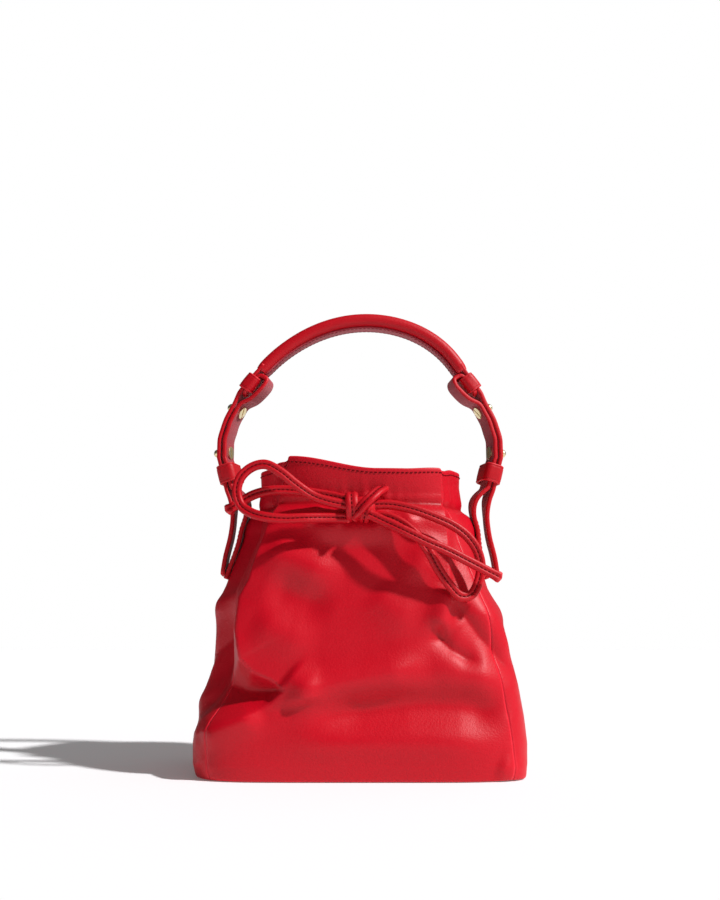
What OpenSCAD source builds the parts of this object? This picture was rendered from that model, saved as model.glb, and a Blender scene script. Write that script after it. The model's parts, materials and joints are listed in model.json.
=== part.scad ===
// Bucket bag: gathered leather body, lace bow at the mouth, one rolled handle on two buckled side tabs.
// Millimetres. Origin at the middle of the base's underside, +Z up, the bow faces -Y.

/* [Body] */
// Widest width of the body, just above the base
bag_w = 218; // [180:1:262]
// Widest depth of the body, just above the base
bag_d = 132; // [110:1:158]
// Height of the mouth's rim
rim_h = 203; // [169:1:244]
// Width of the mouth as the lace gathers it
mouth_w = 146; // [122:1:170]
// Depth of the mouth as the lace gathers it
mouth_d = 100; // [84:1:120]
// Thickness of the outer leather
leather_t = 1.4; // [0.9:0.1:1.8]
// Thickness of the lining cloth
lining_t = 0.7; // [0.4:0.1:1.0]

/* [Base] */
// Thickness of the base's leather
base_t = 2; // [1.2:0.1:3]
// Thickness of the stiff board over it
board_t = 2; // [1:0.1:3]

/* [Mouth] */
// Depth of the leather facing inside the rim
facing_h = 40; // [36:1:50]
// Height of the lace's line below the rim
lace_drop = 28; // [24:1:32]
// Diameter of the lace inside its channel
run_d = 3.8; // [3:0.1:4]
// Distance of each of the lace's slots from the middle of the front
slot_x = 8; // [7:0.5:9]

/* [Bow] */
// Diameter of the folded lace in the bow
lace_d = 6; // [5:0.1:6.4]
// Radius of the bow's knot
knot_r = 9; // [8:0.1:9.4]

/* [Handle] */
// Height of the upper studs above the lower ones, which sets how high the handle stands
stud_rise = 32.4; // [30:0.1:44]
// Thickness of the rolled part
roll_t = 9.5; // [8:0.1:11.4]
// Thickness of the leather wrapped round the roll
cover_t = 1.4; // [1:0.1:1.8]
// Width of the strip sewn to the underside of the roll
under_w = 10; // [8:0.1:12]

/* [Straps] */
// Width of the handle's ends and of the tabs
strap_w = 16; // [13:0.1:19.2]
// Thickness of the handle's ends and of the tabs
strap_t = 3; // [2.5:0.1:3.6]
// Length of each tab that is sewn to its gusset
sewn_h = 43.4; // [36:0.1:52]

/* [Keepers] */
// Thickness of a keeper's leather
keeper_t = 1.5; // [1.2:0.1:1.8]
// Length of a keeper along the straps
keeper_h = 12; // [10:0.1:14]
// Free room across the straps in a lower keeper
keeper_slack = 3.6; // [2:0.1:4.4]

/* [Studs] */
// Diameter of a stud's shank
shank_d = 3; // [2.5:0.1:3.6]
// Diameter of a stud's domed head
dome_d = 6; // [5:0.1:7]
// Diameter of a stud's screw head
screw_d = 9; // [7.5:0.1:10]
// Thickness of a stud's screw head
screw_t = 1.2; // [1:0.1:1.5]

/* [Hidden] */
$fn = 48;

red = "#c4121f";
dark_red = "#8f0f18";
cloth = "#7a2a2e";
board = "#b09a78";
gold = "#d9c48a";

gap = 0.1;        // between pieces that lie face to face
clear = 0.3;      // between pieces that slide past each other
foot_n = 5.5;     // exponent of the outline at the base: 2 is an ellipse, more is squarer
neck_n = 3;       // exponent of the outline at the mouth

// ---- Body outline ---------------------------------------------------------------------------------
lace_z = rim_h - lace_drop;
facing_z = rim_h - facing_h;
tab_z = rim_h - 32.6;           // top of the sewn part of a tab
tab_foot = tab_z - sewn_h;
half_w = bag_w / 2;
half_d = bag_d / 2;
neck_w = mouth_w / 2 + 1.5;     // half widths at the lace's line
neck_d = mouth_d / 2 - 2;

// A level: its height, half width and half depth, given as shares of the way from the neck to the base
function level(z, w, d) = [z, neck_w + w * (half_w - neck_w), neck_d + d * (half_d - neck_d)];
levels = [
    level(0, 0.925, 0.89),
    level(tab_foot * 0.064, 0.985, 0.97),
    level(tab_foot * 0.16, 1, 1),
    level(tab_foot * 0.288, 0.96, 1),
    level(tab_foot * 0.448, 0.875, 0.95),
    level(tab_foot * 0.64, 0.735, 0.835),
    level(tab_foot * 0.832, 0.595, 0.72),
    level(tab_foot, 0.42, 0.58),
    level(tab_foot + sewn_h * 0.35, 0.29, 0.47),
    level(tab_foot + sewn_h * 0.7, 0.19, 0.33),
    level(tab_z, 0.127, 0.19),
    [lace_z, neck_w + 1, neck_d + 1],
    [lace_z + lace_drop * 0.3, neck_w, neck_d],
    [lace_z + lace_drop * 0.6, mouth_w / 2, mouth_d / 2 - 1],
    [rim_h, mouth_w / 2, mouth_d / 2]];
level_z = [for (row = levels) row[0]];

function half_at(z, col) = lookup(z, [for (row = levels) [row[0], row[col]]]);
function square_at(z) = lookup(z, [[0, foot_n], [tab_foot, (foot_n + neck_n) / 2], [lace_z, neck_n]]);
function sgn_pow(v, p) = sign(v) * pow(abs(v), p);
// A point on the outline at height z and angle f, moved in by off
function skin(f, z, off) = [
    (half_at(z, 1) - off) * sgn_pow(cos(f), 2 / square_at(z)),
    (half_at(z, 2) - off) * sgn_pow(sin(f), 2 / square_at(z)), z];
function between(lo, hi) = concat([lo], [for (z = level_z) if (z > lo + 1 && z < hi - 1) z], [hi]);

side_steps = 12;
side_angles = [for (i = [0:side_steps]) -45 + 90 * i / side_steps];
middle_angles = [for (f = side_angles) if (abs(f) < 10) f];
all_round = [for (i = [0:4 * side_steps - 1]) -45 + 90 * i / side_steps];

// ---- Straps ---------------------------------------------------------------------------------------
// All straps are drawn on the right side in the XZ plane and run across Y.
tab_x = half_at(tab_z, 1);
pivot_z = tab_z + strap_w / 2 + 1.6;
roll_angle = 34;                 // where the roll ends, from the horizontal
lean_low = 14.6;                 // lean of the straps in the lower keeper
lean_stud = 28;                  // lean of the straps at the upper stud

layer_up = strap_t + clear;      // handle end to tucked tab tip, middle to middle
layer_stud = strap_t + 1;        // handle end to tab at the upper stud
layer_low = strap_t + 1.2;       // handle end to tab in the lower keeper and at the lower stud

stud_low = [tab_x + 20.5, tab_z + 47.1];
stud_up = stud_low + [-8.5, stud_rise];
down_roll = [sin(roll_angle), -cos(roll_angle)];
in_roll = [-cos(roll_angle), -sin(roll_angle)];
roll_end = stud_up - 32.5 * down_roll - 2.2 * in_roll;
end_r = roll_end[0] / cos(roll_angle);
handle_r = end_r - 1.3;          // middle of the roll
arch_z = roll_end[1] - end_r * sin(roll_angle);

// Point at s along the straps below the roll's end, k inwards
function up(s, k) = roll_end + s * down_roll + k * in_roll;
// Point at s up the straps from the foot of the lower keeper's stretch, k inwards
function low(s, k) = [
    tab_x + 14.5 + s * sin(lean_low) - k * cos(lean_low),
    tab_z + 20.1 + s * cos(lean_low) + k * sin(lean_low)];
// Point at s down the straps from the upper stud, k inwards
function at_stud(s, k) = [
    stud_up[0] + s * sin(lean_stud) - k * cos(lean_stud),
    stud_up[1] - s * cos(lean_stud) - k * sin(lean_stud)];

// Point at that drop below the tab's sewn top, clear of the gusset by out
function off_gusset(drop, out) = [half_at(tab_z - drop, 1) + out, tab_z - drop];

end_path = [
    up(0, 0), up(7, 0), up(14, 0), up(21, 0),
    at_stud(-4.8, 0), at_stud(0, 0), at_stud(4.8, 0), at_stud(9.6, 0.2),
    [stud_low[0] - 1.7, stud_low[1] + 15.5],
    stud_low + [0, 9.6], stud_low + [0, 4.8], stud_low, stud_low - [0, 4.2],
    low(20.7, 0), low(14, 0), low(7, 0), low(0, 0),
    [tab_x + 11.9, tab_z + 11.6], [tab_x + 11.1, tab_z + 0.6],
    off_gusset(14.4, 10.1), off_gusset(27.4, 10.2), off_gusset(41.4, 8)];

riser_x = tab_x + gap + strap_t / 2;
curl_s = strap_t / 2 + gap;      // top of the tab's curl, just under the roll's end
keeper_s = curl_s + 0.95 * strap_t; // where the upper keeper starts, just under the curl
tab_path = [
    [riser_x, pivot_z], [riser_x + 0.1, pivot_z + 2.5], [riser_x + 3.2, pivot_z + 6.5],
    low(0, layer_low), low(7, layer_low), low(14, layer_low), low(20.7, layer_low),
    stud_low - [layer_low, 4.2], stud_low - [layer_low, 0], stud_low - [layer_low, -4.8],
    stud_low - [layer_low, -9.6], [stud_low[0] - layer_low - 1.7, stud_low[1] + 15],
    at_stud(9.6, layer_stud + 0.2), at_stud(4.8, layer_stud), at_stud(0, layer_stud),
    at_stud(-4.8, layer_stud),
    up(curl_s + 18.4, layer_up + 6.9), up(curl_s + 10.7, layer_up + 9), up(curl_s + 4.4, layer_up + 3.1 * strap_t),
    up(curl_s + 0.3, layer_up + 2.4 * strap_t), up(curl_s, layer_up + 1.2 * strap_t),
    up(curl_s + 0.27 * strap_t, layer_up + 0.3 * strap_t), up(keeper_s, layer_up),
    up(keeper_s + 2.4, layer_up), up(keeper_s + 7, layer_up), up(keeper_s + 16.6, layer_up)];

// A smooth curve through the points, n steps to a span
function spline_at(a, b, c, d, t) =
    0.5 * (2 * b + t * (c - a) + t * t * (2 * a - 5 * b + 4 * c - d) + t * t * t * (3 * b - a - 3 * c + d));
function smooth(p, n) = concat(
    [for (i = [0:len(p) - 2], j = [0:n - 1])
        spline_at(p[max(i - 1, 0)], p[i], p[i + 1], p[min(i + 2, len(p) - 1)], j / n)],
    [p[len(p) - 1]]);
function unit(v) = v / norm(v);
function heading(p, i) = unit(p[min(i + 1, len(p) - 1)] - p[max(i - 1, 0)]);

// A strip of thickness t along a path in XZ, w wide across Y
module strip(path, t, w) {
    sides = [for (k = [-t / 2, t / 2])
        [for (i = [0:len(path) - 1])
            path[i] + k * [-heading(path, i)[1], heading(path, i)[0]]]];
    far = sides[1];
    translate([0, w / 2, 0]) rotate([90, 0, 0]) linear_extrude(w)
        polygon(concat(sides[0], [for (i = [len(far) - 1:-1:0]) far[i]]));
}

// Children on the right side, or mirrored to the left
module side(left) {
    if (left) mirror([1, 0, 0]) children();
    else children();
}

// Children at a point in XZ, with their X axis pointing out of the strap there
module on_strap(at, lean) {
    translate([at[0], 0, at[1]]) rotate([0, -lean, 0]) children();
}

// ---- Shell pieces -----------------------------------------------------------------------------------
// A patch of the body between two insets. outer and inner give the inset at each height in zs.
module patch(angles, zs, outer, inner, colour) {
    na = len(angles);
    nz = len(zs);
    half = na * nz;
    points = concat(
        [for (k = [0:nz - 1], f = angles) skin(f, zs[k], outer[k])],
        [for (k = [0:nz - 1], f = angles) skin(f, zs[k], inner[k])]);
    outside = [for (k = [0:nz - 2], j = [0:na - 2])
        each [[k * na + j, (k + 1) * na + j + 1, k * na + j + 1],
              [k * na + j, (k + 1) * na + j, (k + 1) * na + j + 1]]];
    inside = [for (t = outside) [t[0] + half, t[2] + half, t[1] + half]];
    foot = [for (j = [0:na - 2]) each [[j, j + 1, j + 1 + half], [j, j + 1 + half, j + half]]];
    top = [for (j = [0:na - 2]) let (p = (nz - 1) * na + j)
        each [[p, p + 1 + half, p + 1], [p, p + half, p + 1 + half]]];
    first = [for (k = [0:nz - 2]) let (p = k * na)
        each [[p, p + half, p + na + half], [p, p + na + half, p + na]]];
    last = [for (k = [0:nz - 2]) let (p = k * na + na - 1)
        each [[p, p + na + half, p + half], [p, p + na, p + na + half]]];
    color(colour) polyhedron(points, concat(outside, inside, foot, top, first, last));
}

function same(v, zs) = [for (z = zs) v];
module wall(turn) {
    angles = [for (f = side_angles) f + turn];
    patch(angles, level_z, same(0, level_z), same(leather_t, level_z), red);
}

// The front panel has two slots that the lace comes out of
module front_panel() {
    color(red) difference() {
        wall(-90);
        for (s = [-1, 1])
            translate([s * slot_x, -neck_d, lace_z]) cube([run_d + 2, 12, run_d + 2], center = true);
    }
}
module back_panel() { wall(90); }
module left_gusset() { wall(180); }
module right_gusset() { wall(0); }

module plate(z0, t, off) {
    translate([0, 0, z0]) linear_extrude(t)
        polygon([for (f = all_round) let (p = skin(f, 0, off)) [p[0], p[1]]]);
}
board_z = base_t + gap;
floor_z = board_z + board_t + gap;
lining_off = leather_t + 1.5;
module base_panel() { color(red) plate(0, base_t, leather_t + gap); }
module base_board() { color(board) plate(board_z, board_t, leather_t + 3); }
module lining_floor() { color(cloth) plate(floor_z, lining_t, lining_off + lining_t + gap); }

// A closed ring of cloth or leather all round the body
module ring(zs, outer, inner, colour) {
    for (turn = [0:90:270])
        patch([for (f = side_angles) f + turn], zs, outer, inner, colour);
}
lining_zs = between(floor_z, facing_z - gap);
module lining_walls() {
    ring(lining_zs, same(lining_off, lining_zs), same(lining_off + lining_t, lining_zs), cloth);
}

// The facing lies against the panels at the rim and stands off them, upright, round the lace
channel = leather_t + run_d + 0.8;
facing_zs = between(facing_z, rim_h);
facing_off = [for (z = facing_zs)
    abs(z - lace_z) < lace_drop / 3 ? channel + half_at(z, 1) - neck_w - 1
        : z < lace_z ? lining_off : leather_t + gap];
module mouth_facing() {
    ring(facing_zs, facing_off, [for (o = facing_off) o + 1], red);
}

// A stiffening patch inside each gusset, behind the tab's stitches
module tab_backing(turn) {
    zs = between(tab_foot - 3, facing_z - 1);
    patch([for (f = middle_angles) f + turn], zs, same(leather_t + gap, zs), same(leather_t + 1, zs), board);
}
module tab_backing_left() { tab_backing(180); }
module tab_backing_right() { tab_backing(0); }

// ---- Lace -------------------------------------------------------------------------------------------
// A round tube along a path, one ring of n points at each path point
module tube(path, d, n) {
    start = unit(cross(heading(path, 0), abs(heading(path, 0)[2]) < 0.9 ? [0, 0, 1] : [1, 0, 0]));
    across = carried(path, start, 0, []);
    points = [for (i = [0:len(path) - 1], j = [0:n - 1])
        let (u = across[i], v = cross(heading(path, i), u))
        path[i] + d / 2 * (cos(360 * j / n) * u + sin(360 * j / n) * v)];
    last = (len(path) - 1) * n;
    color(red) polyhedron(points, concat(
        [[for (j = [0:n - 1]) j]],
        [for (i = [0:len(path) - 2], j = [0:n - 1]) let (a = i * n + j, b = i * n + (j + 1) % n)
            each [[a, b + n, b], [a, a + n, b + n]]],
        [[for (j = [n - 1:-1:0]) last + j]]));
}
// The side direction of each ring, carried along the path without twist
function carried(path, u, i, done) =
    i == len(path) ? done :
    let (h = heading(path, i), v = unit(u - (u * h) * h))
    carried(path, v, i + 1, concat(done, [v]));

run_off = leather_t + run_d / 2 + 0.3;
run_step = 6;
run_loop = [for (f = [-90 + run_step:run_step:270 - run_step]) skin(f, lace_z, run_off)];
front_y = -neck_d - 1;          // the front panel's face at the lace's line
// The lace leaves the channel through a slot at each side of the knot
function way_out(s) = [
    [s * 5, front_y - 7, lace_z - 5], [s * slot_x, front_y - 3, lace_z], [s * slot_x, front_y + 2.4, lace_z],
    [s * (slot_x + 3), front_y + run_off, lace_z]];
run_path = concat(
    way_out(1),
    [for (p = run_loop) if (p[1] > 0 || abs(p[0]) > slot_x + 6) p],
    [for (i = [3:-1:0]) way_out(-1)[i]]);
module drawstring_run() { tube(run_path, run_d, 8); }

// The bow's routes, chosen by hand for a lace that comes out at y = -49 and z = 175
bow_shift = [0, front_y + 49, lace_z - 175];
knot_at = [0, -62, 168];
loop_left_route = [
    [-7, -65, 171], [-18, -65, 173], [-30, -65, 177], [-42, -66, 185], [-52, -66, 193], [-62, -65, 198],
    [-71, -64, 196], [-78, -64, 189], [-80, -64, 180], [-77, -65, 171], [-70, -67, 166], [-60, -69, 163],
    [-48, -69, 162], [-36, -68, 162.5], [-22, -65, 163], [-7, -63, 163]];
loop_right_route = [
    [7, -61, 172], [20, -61, 172], [34, -62, 169], [48, -62, 164], [61, -61, 158], [70, -60, 151],
    [76, -59, 142], [78, -59, 132], [76, -60, 122], [71, -62, 114], [64, -64, 113], [57, -65, 120],
    [50, -66, 130], [44, -67, 141], [37, -66, 151], [28, -64, 159], [18, -62, 164], [7, -61, 165]];
tail_left_route = [
    [-6, -59, 175], [-20, -57, 178.5], [-32, -57, 180.5], [-45, -57, 182], [-58, -57, 182], [-70, -57, 179],
    [-80, -57, 173], [-88, -58, 168]];
tail_right_route = [
    [6, -68, 165], [16, -70, 160], [28, -73, 154], [42, -74, 147], [56, -73, 141], [70, -71, 134],
    [80, -69, 129], [90, -67, 124]];
module in_bow() { color(red) translate(bow_shift) children(); }
module bow_knot() { in_bow() translate(knot_at) sphere(knot_r, $fn = 32); }
module bow_loop_left() { in_bow() tube(loop_left_route, lace_d, 8); }
module bow_loop_right() { in_bow() tube(loop_right_route, lace_d, 8); }
module bow_tail_left() { in_bow() tube(tail_left_route, lace_d, 8); }
module bow_tail_right() { in_bow() tube(tail_right_route, lace_d, 8); }

// ---- Handle -----------------------------------------------------------------------------------------
// Children, drawn as a section at radius 0, swept along the arch from one roll end to the other
module along_arch() {
    translate([0, 0, arch_z]) rotate([90, 0, 0]) rotate([0, 0, roll_angle])
        rotate_extrude(angle = 180 - 2 * roll_angle, $fn = 96) translate([handle_r, 0]) children();
}
// A rounded bar, t thick and w wide
module bar(t, w) {
    for (s = [-1, 1]) translate([0, s * (w - t) / 2]) circle(d = t);
    square([t, w - t], center = true);
}
under_t = 1.2;                   // thickness of the strip under the roll
module handle_cover() {
    color(red) along_arch() difference() {
        bar(roll_t, strap_w);
        bar(roll_t - 2 * cover_t, strap_w - 2 * cover_t);
        translate([-roll_t / 2, 0]) square([2 * under_t + gap, under_w + gap], center = true);
    }
}
module handle_core() {
    color(board) along_arch() bar(roll_t - 2 * cover_t - gap, strap_w - 2 * cover_t - gap);
}
module handle_underside() {
    color(dark_red) along_arch() translate([-roll_t / 2 + under_t / 2, 0])
        square([under_t, under_w], center = true);
}

// ---- Straps, keepers and studs ----------------------------------------------------------------------
module shank_holes() {
    on_strap(stud_up, lean_stud) rotate([0, 90, 0]) cylinder(d = shank_d + 2 * gap, h = 40, center = true);
    on_strap(stud_low, 0) rotate([0, 90, 0]) cylinder(d = shank_d + 2 * gap, h = 24, center = true);
}
module handle_end() {
    color(red) difference() {
        strip(smooth(end_path, 3), strap_t, strap_w);
        shank_holes();
    }
}
module tab() {
    color(red) difference() {
        union() {
            strip(smooth(tab_path, 3), strap_t, strap_w);
            translate([riser_x, 0, pivot_z]) rotate([0, 90, 0]) cylinder(d = strap_w, h = strap_t, center = true);
        }
        shank_holes();
    }
}
// The stretch of a tab that is sewn flat to its gusset
module tab_root() {
    zs = between(tab_foot, tab_z);
    inner = [for (z = zs) [half_at(z, 1) + gap, z]];
    outer = [for (i = [len(zs) - 1:-1:0]) [half_at(zs[i], 1) + gap + strap_t, zs[i]]];
    color(red) translate([0, strap_w / 2, 0]) rotate([90, 0, 0])
        linear_extrude(strap_w) polygon(concat(inner, outer));
}
module handle_end_left() { side(true) handle_end(); }
module handle_end_right() { side(false) handle_end(); }
module tab_left() { side(true) tab(); }
module tab_right() { side(false) tab(); }
module tab_root_left() { side(true) tab_root(); }
module tab_root_right() { side(false) tab_root(); }

// A band round the straps: in_t and in_w are its inside sizes, h its length
module keeper(in_t, in_w, h) {
    color(red) difference() {
        cube([in_t + 2 * keeper_t, in_w + 2 * keeper_t, h], center = true);
        cube([in_t, in_w, h + 1], center = true);
    }
}
band_w = strap_w + 2 * clear;
upper_band = layer_up + strap_t + 2 * clear;
lower_band = layer_low + strap_t + 2 * clear + keeper_slack;
upper_at = up(keeper_s + keeper_h / 2, layer_up / 2);
lower_at = low(10.4, layer_low / 2 + keeper_slack / 2);
module upper_keeper() {
    on_strap(upper_at, roll_angle) keeper(upper_band, band_w, keeper_h);
}
module lower_keeper() {
    on_strap(lower_at, -lean_low) keeper(lower_band, band_w, keeper_h + 1.5);
}
module upper_keeper_left() { side(true) upper_keeper(); }
module upper_keeper_right() { side(false) upper_keeper(); }
module lower_keeper_left() { side(true) lower_keeper(); }
module lower_keeper_right() { side(false) lower_keeper(); }

// A stud: its domed head outside the handle's end, its shank through both straps. X points outwards.
socket_d = shank_d - 1;
module stud(layer) {
    reach = layer + strap_t;
    color(gold) difference() {
        union() {
            translate([strap_t / 2 + gap, 0, 0]) rotate([0, 90, 0]) cylinder(d = dome_d + 1, h = 0.8);
            translate([strap_t / 2 + 0.9, 0, 0]) rotate([0, 90, 0]) cylinder(d = shank_d + 1, h = 1);
            translate([strap_t / 2 + 1.2 + dome_d * 0.35, 0, 0]) sphere(d = dome_d);
            translate([-reach + strap_t / 2, 0, 0]) rotate([0, 90, 0])
                cylinder(d = shank_d, h = reach + gap + 0.2);
        }
        translate([-reach - 1, 0, 0]) rotate([0, 90, 0]) cylinder(d = socket_d, h = reach);
        translate([-reach - 10 + strap_t / 2 + 0.05, 0, 0]) cube([20, 20, 20], center = true);
    }
}
// The slotted screw that closes a stud from the inside
module screw(layer) {
    face = -layer - strap_t / 2 - gap;
    color(gold) difference() {
        union() {
            translate([face - screw_t, 0, 0]) rotate([0, 90, 0]) cylinder(d = screw_d, h = screw_t);
            translate([face - 0.1, 0, 0]) rotate([0, 90, 0]) cylinder(d = socket_d - 0.1, h = layer);
        }
        translate([face - screw_t, 0, 0]) cube([1, screw_d + 2, 1], center = true);
    }
}
module upper_stud_left() { side(true) on_strap(stud_up, lean_stud) stud(layer_stud); }
module upper_stud_right() { side(false) on_strap(stud_up, lean_stud) stud(layer_stud); }
module lower_stud_left() { side(true) on_strap(stud_low, 0) stud(layer_low); }
module lower_stud_right() { side(false) on_strap(stud_low, 0) stud(layer_low); }
module upper_screw_left() { side(true) on_strap(stud_up, lean_stud) screw(layer_stud); }
module upper_screw_right() { side(false) on_strap(stud_up, lean_stud) screw(layer_stud); }
module lower_screw_left() { side(true) on_strap(stud_low, 0) screw(layer_low); }
module lower_screw_right() { side(false) on_strap(stud_low, 0) screw(layer_low); }

front_panel();
back_panel();
left_gusset();
right_gusset();
base_panel();
base_board();
lining_walls();
lining_floor();
mouth_facing();
tab_backing_left();
tab_backing_right();
drawstring_run();
bow_knot();
bow_loop_left();
bow_loop_right();
bow_tail_left();
bow_tail_right();
handle_cover();
handle_core();
handle_underside();
handle_end_left();
handle_end_right();
tab_root_left();
tab_root_right();
tab_left();
tab_right();
upper_keeper_left();
upper_keeper_right();
lower_keeper_left();
lower_keeper_right();
upper_stud_left();
upper_stud_right();
lower_stud_left();
lower_stud_right();
upper_screw_left();
upper_screw_right();
lower_screw_left();
lower_screw_right();
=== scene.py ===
# %% [markdown]
# # A gathered leather bucket bag
# The bag is a soft leather shell on a stiff base, drawn in at the mouth by a lace that ties in a bow, with
# one rolled handle buckled to two side tabs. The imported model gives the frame: every size below starts
# from its boxes or from a named value in millimetres, and each piece rides on the body that carries it.

# %% The frame and the tools
import json
import math

import bmesh
import bpy
import numpy as np
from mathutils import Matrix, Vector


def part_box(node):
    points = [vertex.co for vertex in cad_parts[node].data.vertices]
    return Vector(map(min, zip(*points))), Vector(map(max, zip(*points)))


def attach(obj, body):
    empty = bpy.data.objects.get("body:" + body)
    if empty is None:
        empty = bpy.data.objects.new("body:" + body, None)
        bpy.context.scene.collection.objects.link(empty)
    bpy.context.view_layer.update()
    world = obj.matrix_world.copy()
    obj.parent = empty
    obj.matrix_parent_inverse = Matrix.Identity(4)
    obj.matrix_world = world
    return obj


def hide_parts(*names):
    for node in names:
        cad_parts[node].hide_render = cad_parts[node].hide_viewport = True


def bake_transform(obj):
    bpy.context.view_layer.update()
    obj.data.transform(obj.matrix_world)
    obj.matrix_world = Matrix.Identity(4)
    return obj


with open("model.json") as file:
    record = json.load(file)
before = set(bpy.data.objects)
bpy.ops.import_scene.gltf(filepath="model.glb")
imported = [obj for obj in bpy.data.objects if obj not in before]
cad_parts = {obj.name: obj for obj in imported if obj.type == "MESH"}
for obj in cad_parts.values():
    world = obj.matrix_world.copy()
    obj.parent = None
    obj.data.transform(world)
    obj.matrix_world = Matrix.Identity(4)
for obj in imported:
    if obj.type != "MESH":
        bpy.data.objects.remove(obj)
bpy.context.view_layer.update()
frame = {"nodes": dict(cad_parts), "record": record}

MM = 0.001

# %% [markdown]
# ## Camera
# The camera stands close to the bag, a little below the middle of its height and looking slightly up, so
# the underside of the handle shows. It is 67 cm in front of the bag's middle and tilted up by 11 degrees,
# which gives a strong perspective, and no shift is needed.

# %% Camera
CAMERA_AT, TILT_UP = (0, -0.670, 0.0919), math.radians(10.82)
SENSOR, LENS = 36, 37.68
camera = bpy.data.objects.new("camera", bpy.data.cameras.new("camera"))
bpy.context.collection.objects.link(camera)
camera.location = CAMERA_AT
camera.rotation_euler = (math.pi / 2 + TILT_UP, 0, 0)
camera.data.sensor_width = SENSOR
camera.data.lens = LENS
camera.data.clip_start = 0.01
bpy.context.scene.camera = camera
print("camera field of view:", round(math.degrees(camera.data.angle), 1), "degrees")

# %% [markdown]
# ## Small helpers
# Everything here is a sweep or a grid of points, so three helpers make nearly every mesh: one turns rows
# of points into faces, one sweeps a section along a path, and one wraps the result up as a piece that
# rides on its body.

# %% Meshes from rows of points
def row_faces(rows, columns, closed=False, shift=0):
    """Quads between rows of points. closed joins each row's last point to its first."""
    faces = []
    for r in range(rows - 1):
        for c in range(columns if closed else columns - 1):
            a, b = r * columns + c, r * columns + (c + 1) % columns
            faces.append((shift + a, shift + b, shift + b + columns, shift + a + columns))
    return faces


def make_piece(name, shape, body, slot, *materials, smooth=True):
    """A mesh object from a shape, its points in millimetres and its faces, riding on a body."""
    points, faces = shape
    mesh = bpy.data.meshes.new(name)
    mesh.from_pydata([tuple(p) for p in np.asarray(points, float) * MM], [], faces)
    bm = bmesh.new()
    bm.from_mesh(mesh)
    bmesh.ops.recalc_face_normals(bm, faces=bm.faces)
    bm.to_mesh(mesh)
    bm.free()
    mesh.shade_smooth() if smooth else mesh.shade_flat()
    obj = bpy.data.objects.new(name, mesh)
    bpy.context.collection.objects.link(obj)
    for material in materials:
        mesh.materials.append(material)
    if body:
        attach(obj, body)
    return obj


# %% Smooth paths and sweeps
def run_of(path):
    """How far along the path each of its points lies."""
    return np.concatenate([[0], np.cumsum(np.linalg.norm(np.diff(path, axis=0), axis=1))])


def smooth_path(points, step=1.0):
    """A curve through the points, sampled every step millimetres."""
    p = np.asarray(points, float)
    gaps = np.linalg.norm(np.diff(p, axis=0), axis=1) ** 0.5
    knots = np.concatenate([[0], np.cumsum(gaps)])
    tangent = np.gradient(p, knots, axis=0)
    out = []
    for i in range(len(p) - 1):
        h = knots[i + 1] - knots[i]
        for t in np.linspace(0, 1, 16, endpoint=False):
            a, b = 2 * t**3 - 3 * t**2 + 1, t**3 - 2 * t**2 + t
            out.append(a * p[i] + b * h * tangent[i] + (1 - a) * p[i + 1]
                       + (t**3 - t**2) * h * tangent[i + 1])
    out = np.array(out + [p[-1]])
    run = run_of(out)
    even = np.linspace(0, run[-1], max(2, int(run[-1] / step) + 1))
    return np.stack([np.interp(even, run, out[:, k]) for k in range(out.shape[1])], axis=1)


def unit(v):
    return v / np.maximum(np.linalg.norm(v, axis=-1, keepdims=True), 1e-9)


def sweep(path, section, face, loop=False):
    """Points and faces of a section swept along a path. The section's second axis points along face."""
    heading = unit(np.roll(path, -1, 0) - np.roll(path, 1, 0)) if loop else unit(np.gradient(path, axis=0))
    face = np.broadcast_to(np.asarray(face, float), path.shape)
    up = unit(face - heading * (face * heading).sum(-1, keepdims=True))
    across = np.cross(heading, up)
    section = np.asarray(section, float)
    if section.ndim == 2:
        section = np.broadcast_to(section, (len(path),) + section.shape)
    points = (path[:, None] + across[:, None] * section[:, :, :1] + up[:, None] * section[:, :, 1:])
    count = section.shape[1]
    faces = row_faces(len(path), count, closed=True)
    if loop:
        last = (len(path) - 1) * count
        faces += [(last + i, last + (i + 1) % count, (i + 1) % count, i) for i in range(count)]
    else:
        faces.append(tuple(range(count)))
        faces.append(tuple(range((len(path) - 1) * count, len(path) * count)))
    return points.reshape(-1, 3), faces


def rounded_off(left, reach, least):
    """The share of its size that a section keeps, left millimetres before a rounded end."""
    return np.sqrt(np.clip(1 - (1 - left / reach).clip(0) ** 2, least, 1))[:, None]


def in_side_plane(x, z):
    """Points, or directions, in the plane of the two sides."""
    return np.stack([x, 0 * x, z], axis=1)


def joined(parts):
    """Several sets of points and faces as one."""
    points, faces, shift = [], [], 0
    for p, f in parts:
        points.append(np.asarray(p, float))
        faces += [tuple(i + shift for i in face) for face in f]
        shift += len(p)
    return np.concatenate(points), faces


def rounded_bar(width, thickness, radius, per_corner=4):
    """A rounded rectangle's outline, width across and thickness up."""
    out = []
    for corner, (sx, sy) in enumerate([(1, 1), (-1, 1), (-1, -1), (1, -1)]):
        for i in range(per_corner + 1):
            a = math.radians(90 * corner + 90 * i / per_corner)
            out.append((sx * (width / 2 - radius) + radius * math.cos(a),
                        sy * (thickness / 2 - radius) + radius * math.sin(a)))
    return np.array(out)


# %% [markdown]
# ## Colours and nodes
# Colours are written the way a designer gives them, as sRGB hex, and turned to linear light once. One
# function adds a shader node with its settings and whatever feeds it.

# %% Colour and node helpers
def linear(code, alpha=1.0):
    """An sRGB hex colour as linear RGBA."""
    out = []
    for i in (1, 3, 5):
        c = int(code[i:i + 2], 16) / 255
        out.append(c / 12.92 if c <= 0.04045 else ((c + 0.055) / 1.055) ** 2.4)
    return (*out, alpha)


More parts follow.
